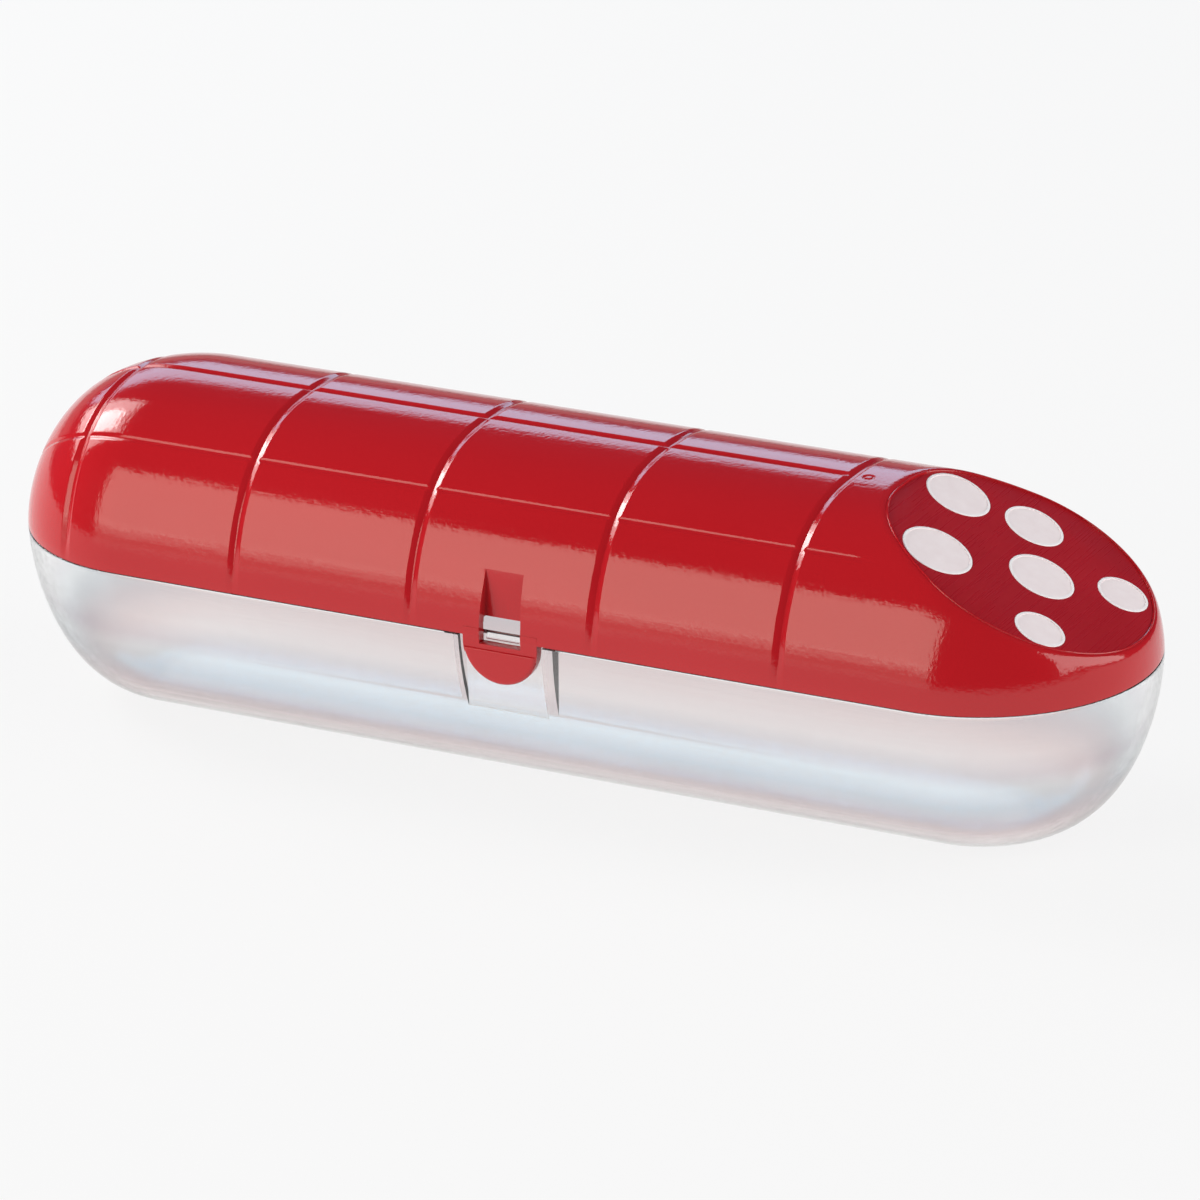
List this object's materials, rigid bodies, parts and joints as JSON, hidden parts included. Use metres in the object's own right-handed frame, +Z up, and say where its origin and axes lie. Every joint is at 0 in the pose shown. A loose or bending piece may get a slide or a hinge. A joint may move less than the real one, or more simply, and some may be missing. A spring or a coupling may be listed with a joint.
{
  "type": "sausage keeper case",
  "caption": "Long hinged storage case with round ends for a dry sausage: glossy red lid shaped like a net-tied salami with a slanted cut end, clear tray, and a front snap latch.",
  "frame": {"origin": "centre of the flat bottom of the tray", "axes": "+X along the case towards the slanted end, +Y towards the hinges, +Z up; the latch faces -Y"},
  "size_m": [0.28, 0.0864, 0.077],
  "materials": {
    "red_plastic": "glossy moulded red plastic",
    "cut_face_red": "satin dark red plastic with fine machined lines",
    "white_plastic": "satin warm white plastic",
    "clear_plastic": "clear moulded styrene plastic",
    "pin_steel": "drawn steel rod"
  },
  "bodies": {
    "tray": {"base_shell": "clear_plastic", "hinge_pin_left": "pin_steel", "hinge_pin_right": "pin_steel"},
    "lid": {"lid_shell": "red_plastic", "cut_face_plate": "cut_face_red", "fat_dot_1": "white_plastic", "fat_dot_2": "white_plastic", "fat_dot_3": "white_plastic", "fat_dot_4": "white_plastic", "fat_dot_5": "white_plastic", "fat_dot_6": "white_plastic"}
  },
  "joints": [
    {"name": "lid_hinge", "type": "hinge", "parent": "tray", "child": "lid", "pos_m": [0, 0.0432, 0.041], "axis": [-1, 0, 0], "range_deg": [0, 180]}
  ]
}
